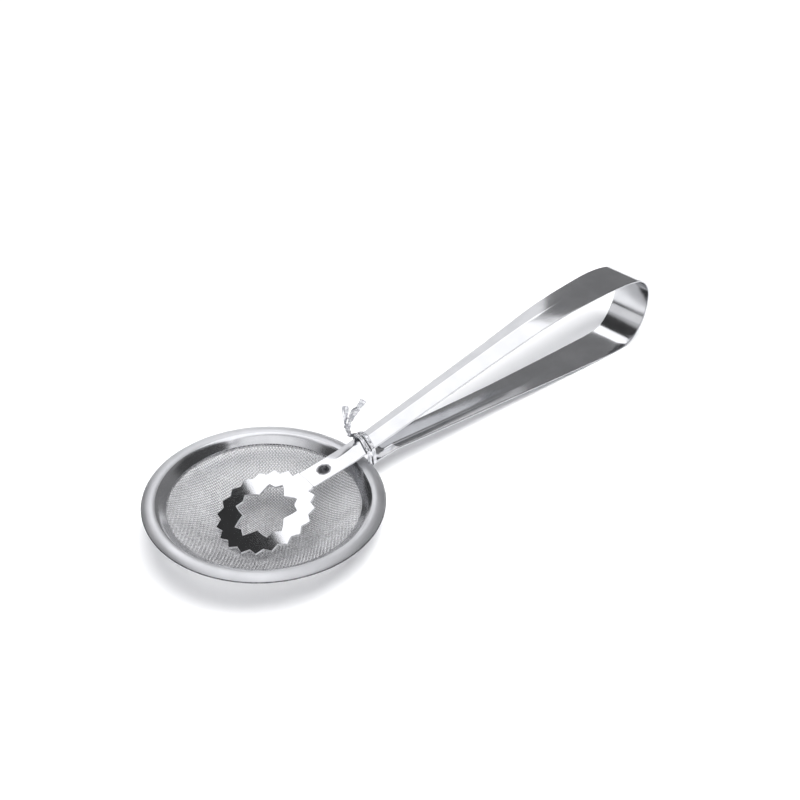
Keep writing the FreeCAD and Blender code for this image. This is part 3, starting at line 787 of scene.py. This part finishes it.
def make_floor():
    """Wide matt white floor."""
    data = bpy.data.meshes.new("floor")
    side = 6.0                    # half of the floor's side, in metres
    data.from_pydata([(-side, -side, 0), (side, -side, 0), (side, side, 0), (-side, side, 0)], [],
                     [(0, 1, 2, 3)])
    material, shader = new_material("floor_white", (0.93, 0.93, 0.935), 0.9, 0.0)
    tree = material.node_tree
    tinted(tree, shader, noise(tree, object_coords(tree), 3), (0.925, 0.925, 0.93),
           (0.94, 0.94, 0.945))
    data.materials.append(material)
    floor = bpy.data.objects.new("floor", data)
    bpy.context.collection.objects.link(floor)


def glossy_only(data, name, light):
    """A glowing stage piece that neither lights the floor nor shows, but is mirrored in steel."""
    material, shader = new_material(name + "_paint", (0, 0, 0), 1.0, 0.0)
    shader.inputs["Specular IOR Level"].default_value = 0
    shader.inputs["Emission Color"].default_value = (light, light, light * 1.02, 1)
    shader.inputs["Emission Strength"].default_value = 1.0
    data.materials.append(material)
    card = bpy.data.objects.new(name, data)
    bpy.context.collection.objects.link(card)
    card.visible_camera = False
    card.visible_diffuse = False
    card.visible_shadow = False
    card.visible_transmission = False


def make_card(name, azimuth, elevation, width, height, light, distance=2.0):
    """A flat card that faces the origin and is only seen in the steel."""
    a, e = math.radians(azimuth), math.radians(elevation)
    away = Vector((math.cos(a) * math.cos(e), math.sin(a) * math.cos(e), math.sin(e)))
    side = Vector((-math.sin(a), math.cos(a), 0))
    up = away.cross(side)
    wide, tall = (distance * math.tan(math.radians(v / 2)) for v in (width, height))
    data = bpy.data.meshes.new(name)
    corners = [away * distance + side * wide * i + up * tall * j
               for i, j in ((-1, -1), (1, -1), (1, 1), (-1, 1))]
    data.from_pydata([tuple(c) for c in corners], [], [(0, 1, 2, 3)])
    glossy_only(data, name, light)


def make_shell():
    """A grey tent round everything, also only seen in the steel."""
    shape = bmesh.new()
    bmesh.ops.create_icosphere(shape, subdivisions=4, radius=3.0)
    data = bpy.data.meshes.new("tent")
    shape.to_mesh(data)
    shape.free()
    glossy_only(data, "tent", TENT_LIGHT)


def make_light(name, place, aim, side, power):
    """A square lamp for the floor's light and shadow, which the steel doesn't mirror."""
    light = bpy.data.lights.new(name, "AREA")
    light.shape = "SQUARE"
    light.size = side
    light.energy = power
    lamp = bpy.data.objects.new(name, light)
    lamp.location = place
    lamp.rotation_euler = (Vector(aim) - Vector(place)).to_track_quat("-Z", "Y").to_euler()
    lamp.visible_glossy = False
    bpy.context.collection.objects.link(lamp)


def make_world():
    """Even, slightly cool light from all round."""
    world = bpy.data.worlds.new("studio")
    world.use_nodes = True
    background = world.node_tree.nodes["Background"]
    background.inputs["Color"].default_value = (0.96, 0.97, 1.0, 1)
    background.inputs["Strength"].default_value = WORLD_LIGHT
    bpy.context.scene.world = world


def make_camera():
    """The camera, above and in front of the pan, rolled a little."""
    azimuth, elevation, roll = (math.radians(v) for v in (-33.48, 39.64, -5.83))
    back = Vector((math.sin(azimuth) * math.cos(elevation),
                   -math.cos(azimuth) * math.cos(elevation), math.sin(elevation)))
    level = Vector((math.cos(azimuth), math.sin(azimuth), 0))
    upright = back.cross(level)
    right = level * math.cos(roll) + upright * math.sin(roll)
    up = upright * math.cos(roll) - level * math.sin(roll)
    place = CAMERA_AIM + right * CAMERA_RIGHT + up * CAMERA_UP + back * CAMERA_BACK
    data = bpy.data.cameras.new("camera")
    data.lens = 58.5
    data.sensor_width = 36
    camera = bpy.data.objects.new("camera", data)
    turn = Matrix((right, up, back)).transposed().to_4x4()
    camera.matrix_world = Matrix.Translation(place * MM) @ turn
    bpy.context.collection.objects.link(camera)
    bpy.context.scene.camera = camera


make_pan_rim()
make_clamp_ring()
make_weave("weave_warp", False)
make_weave("weave_weft", True)
make_strip()
make_jaw()
make_welds()
make_tie()

make_floor()
make_world()
make_shell()
for card in CARDS:
    make_card(*card)
make_light("key", (-0.05, -0.55, 1.45), (0, 0, 0), 0.8, 26)
make_camera()
bpy.context.scene.view_settings.view_transform = "Standard"
